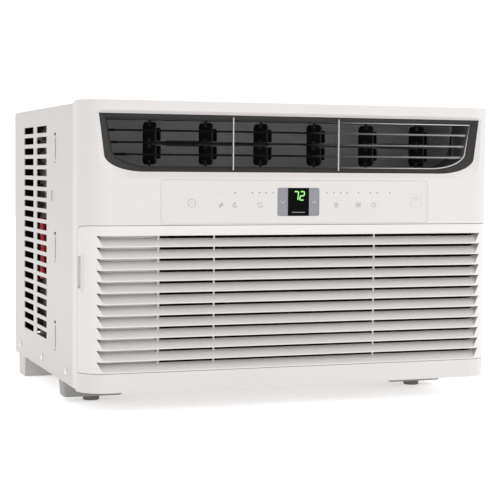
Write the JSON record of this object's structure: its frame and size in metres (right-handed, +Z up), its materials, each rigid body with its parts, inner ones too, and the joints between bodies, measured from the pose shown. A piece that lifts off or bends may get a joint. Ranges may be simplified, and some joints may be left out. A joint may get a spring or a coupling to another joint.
{
  "type": "window air conditioner",
  "caption": "Window air conditioner with a slatted intake grille, wide swing-louvre outlet above an electronic control strip, vented steel cabinet, feet and full inner works.",
  "frame": {"origin": "under the middle of the overall box, on the plane of the feet and rear rail", "axes": "+X to the right seen from the room, -Y out of the front, +Z up"},
  "size_m": [0.47, 0.37, 0.325],
  "materials": {
    "front_plastic": "fine satin moulded",
    "cabinet_steel": "satin powder coat",
    "pan_steel": "satin",
    "bezel_plastic": "satin",
    "black_plastic": "satin",
    "foot_plastic": "matt",
    "key_plastic": "satin",
    "temperature_key_plastic": "satin",
    "display_lens": "polished",
    "pad_rubber": "matt",
    "filter_mesh": "woven",
    "coil_fins": "thin fins",
    "line_copper": "drawn",
    "compressor_shell": "gloss",
    "terminal_plastic": "gloss",
    "board": "solder mask",
    "foam": "beaded",
    "sheet_steel": "galvanised",
    "turned_steel": "turned",
    "capacitor_can": "drawn"
  },
  "bodies": {
    "cabinet": {"outer_cabinet": "cabinet_steel", "base_pan": "pan_steel", "left_foot": "foot_plastic", "right_foot": "foot_plastic", "left_foot_pad": "pad_rubber", "right_foot_pad": "pad_rubber", "front_frame": "front_plastic", "outlet_bezel": "bezel_plastic", "control_overlay": "front_plastic", "display_window": "display_lens", "front_board": "board", "evaporator_coil": "coil_fins", "drain_tray": "foam", "blower_housing": "foam", "inlet_orifice": "front_plastic", "discharge_duct": "foam", "bulkhead": "sheet_steel", "fan_motor": "turned_steel", "motor_bracket": "sheet_steel", "fan_shroud": "black_plastic", "condenser_coil": "coil_fins", "compressor": "compressor_shell", "terminal_cover": "terminal_plastic", "compressor_grommet_1": "pad_rubber", "compressor_grommet_2": "pad_rubber", "compressor_grommet_3": "pad_rubber", "suction_line": "line_copper", "discharge_line": "line_copper", "capillary_tube": "line_copper", "control_box": "sheet_steel", "control_box_cover": "sheet_steel", "main_board": "board", "run_capacitor": "capacitor_can", "cord_bushing": "pad_rubber"},
    "grille": {"intake_grille": "front_plastic"},
    "filter": {"air_filter": "filter_mesh"},
    "rotor": {"motor_shaft": "turned_steel", "blower_wheel": "black_plastic", "condenser_fan": "black_plastic"},
    "middle_louver": {"middle_louver": "bezel_plastic"},
    "lower_louver": {"lower_louver": "bezel_plastic"},
    "upper_louver": {"upper_louver": "bezel_plastic"},
    "louver_link": {"louver_link": "black_plastic"},
    "left_vane_1": {"left_vane_1": "black_plastic"},
    "left_vane_2": {"left_vane_2": "black_plastic"},
    "left_vane_3": {"left_vane_3": "black_plastic"},
    "right_vane_1": {"right_vane_1": "black_plastic"},
    "right_vane_2": {"right_vane_2": "black_plastic"},
    "right_vane_3": {"right_vane_3": "black_plastic"},
    "left_vane_link": {"left_vane_link": "black_plastic"},
    "right_vane_link": {"right_vane_link": "black_plastic"},
    "power_key": {"power_key": "key_plastic"},
    "eco_key": {"eco_key": "key_plastic"},
    "sleep_key": {"sleep_key": "key_plastic"},
    "mode_key": {"mode_key": "key_plastic"},
    "temperature_down_key": {"temperature_down_key": "temperature_key_plastic"},
    "temperature_up_key": {"temperature_up_key": "temperature_key_plastic"},
    "fan_speed_key": {"fan_speed_key": "key_plastic"},
    "filter_key": {"filter_key": "key_plastic"},
    "timer_key": {"timer_key": "key_plastic"}
  },
  "joints": [
    {"name": "grille_hinge", "type": "hinge", "parent": "cabinet", "child": "grille", "pos_m": [0, -0.185, 0.0447], "axis": [1, 0, 0], "range_deg": [0, 40]},
    {"name": "filter_slide", "type": "slide", "parent": "grille", "child": "filter", "axis": [0, 0, 1], "range_m": [0, 0.045]},
    {"name": "blower_spin", "type": "hinge", "parent": "cabinet", "child": "rotor", "pos_m": [0.038, -0.06, 0.137], "axis": [0, 1, 0], "continuous": true},
    {"name": "louver_tilt", "type": "hinge", "parent": "cabinet", "child": "middle_louver", "pos_m": [0, -0.171, 0.2822], "axis": [1, 0, 0], "range_deg": [-30, 30]},
    {"name": "lower_louver_follow", "type": "hinge", "parent": "cabinet", "child": "lower_louver", "pos_m": [0, -0.171, 0.2698], "axis": [1, 0, 0], "range_deg": [-30, 30]},
    {"name": "upper_louver_follow", "type": "hinge", "parent": "cabinet", "child": "upper_louver", "pos_m": [0, -0.171, 0.2946], "axis": [1, 0, 0], "range_deg": [-30, 30]},
    {"name": "louver_link_follow", "type": "hinge", "parent": "middle_louver", "child": "louver_link", "pos_m": [0.191, -0.167, 0.2822], "axis": [1, 0, 0], "range_deg": [-30, 30]},
    {"name": "left_vanes_turn", "type": "hinge", "parent": "cabinet", "child": "left_vane_1", "pos_m": [-0.155, -0.151, 0.28175], "axis": [0, 0, 1], "range_deg": [-60, 20]},
    {"name": "left_vane_2_follow", "type": "hinge", "parent": "cabinet", "child": "left_vane_2", "pos_m": [-0.093, -0.151, 0.28175], "axis": [0, 0, 1], "range_deg": [-60, 20]},
    {"name": "left_vane_3_follow", "type": "hinge", "parent": "cabinet", "child": "left_vane_3", "pos_m": [-0.031, -0.151, 0.28175], "axis": [0, 0, 1], "range_deg": [-60, 20]},
    {"name": "left_vane_link_follow", "type": "hinge", "parent": "left_vane_1", "child": "left_vane_link", "pos_m": [-0.15226, -0.15852, 0.28175], "axis": [0, 0, 1], "range_deg": [-20, 60]},
    {"name": "right_vanes_turn", "type": "hinge", "parent": "cabinet", "child": "right_vane_1", "pos_m": [0.031, -0.151, 0.28175], "axis": [0, 0, 1], "range_deg": [-60, 20]},
    {"name": "right_vane_2_follow", "type": "hinge", "parent": "cabinet", "child": "right_vane_2", "pos_m": [0.093, -0.151, 0.28175], "axis": [0, 0, 1], "range_deg": [-60, 20]},
    {"name": "right_vane_3_follow", "type": "hinge", "parent": "cabinet", "child": "right_vane_3", "pos_m": [0.155, -0.151, 0.28175], "axis": [0, 0, 1], "range_deg": [-60, 20]},
    {"name": "right_vane_link_follow", "type": "hinge", "parent": "right_vane_1", "child": "right_vane_link", "pos_m": [0.03374, -0.15852, 0.28175], "axis": [0, 0, 1], "range_deg": [-20, 60]},
    {"name": "power_key_press", "type": "slide", "parent": "cabinet", "child": "power_key", "axis": [0, 1, 0], "range_m": [0, 0.0006], "stiffness_N_per_m": 400, "springref_m": -0.0015},
    {"name": "eco_key_press", "type": "slide", "parent": "cabinet", "child": "eco_key", "axis": [0, 1, 0], "range_m": [0, 0.0006], "stiffness_N_per_m": 400, "springref_m": -0.0015},
    {"name": "sleep_key_press", "type": "slide", "parent": "cabinet", "child": "sleep_key", "axis": [0, 1, 0], "range_m": [0, 0.0006], "stiffness_N_per_m": 400, "springref_m": -0.0015},
    {"name": "mode_key_press", "type": "slide", "parent": "cabinet", "child": "mode_key", "axis": [0, 1, 0], "range_m": [0, 0.0006], "stiffness_N_per_m": 400, "springref_m": -0.0015},
    {"name": "temperature_down_key_press", "type": "slide", "parent": "cabinet", "child": "temperature_down_key", "axis": [0, 1, 0], "range_m": [0, 0.0006], "stiffness_N_per_m": 400, "springref_m": -0.0015},
    {"name": "temperature_up_key_press", "type": "slide", "parent": "cabinet", "child": "temperature_up_key", "axis": [0, 1, 0], "range_m": [0, 0.0006], "stiffness_N_per_m": 400, "springref_m": -0.0015},
    {"name": "fan_speed_key_press", "type": "slide", "parent": "cabinet", "child": "fan_speed_key", "axis": [0, 1, 0], "range_m": [0, 0.0006], "stiffness_N_per_m": 400, "springref_m": -0.0015},
    {"name": "filter_key_press", "type": "slide", "parent": "cabinet", "child": "filter_key", "axis": [0, 1, 0], "range_m": [0, 0.0006], "stiffness_N_per_m": 400, "springref_m": -0.0015},
    {"name": "timer_key_press", "type": "slide", "parent": "cabinet", "child": "timer_key", "axis": [0, 1, 0], "range_m": [0, 0.0006], "stiffness_N_per_m": 400, "springref_m": -0.0015}
  ],
  "couplings": [
    {"joint": "lower_louver_follow", "follows": "louver_tilt", "ratio": 1},
    {"joint": "upper_louver_follow", "follows": "louver_tilt", "ratio": 1},
    {"joint": "louver_link_follow", "follows": "louver_tilt", "ratio": -1},
    {"joint": "left_vane_2_follow", "follows": "left_vanes_turn", "ratio": 1},
    {"joint": "left_vane_3_follow", "follows": "left_vanes_turn", "ratio": 1},
    {"joint": "left_vane_link_follow", "follows": "left_vanes_turn", "ratio": -1},
    {"joint": "right_vane_2_follow", "follows": "right_vanes_turn", "ratio": 1},
    {"joint": "right_vane_3_follow", "follows": "right_vanes_turn", "ratio": 1},
    {"joint": "right_vane_link_follow", "follows": "right_vanes_turn", "ratio": -1}
  ]
}
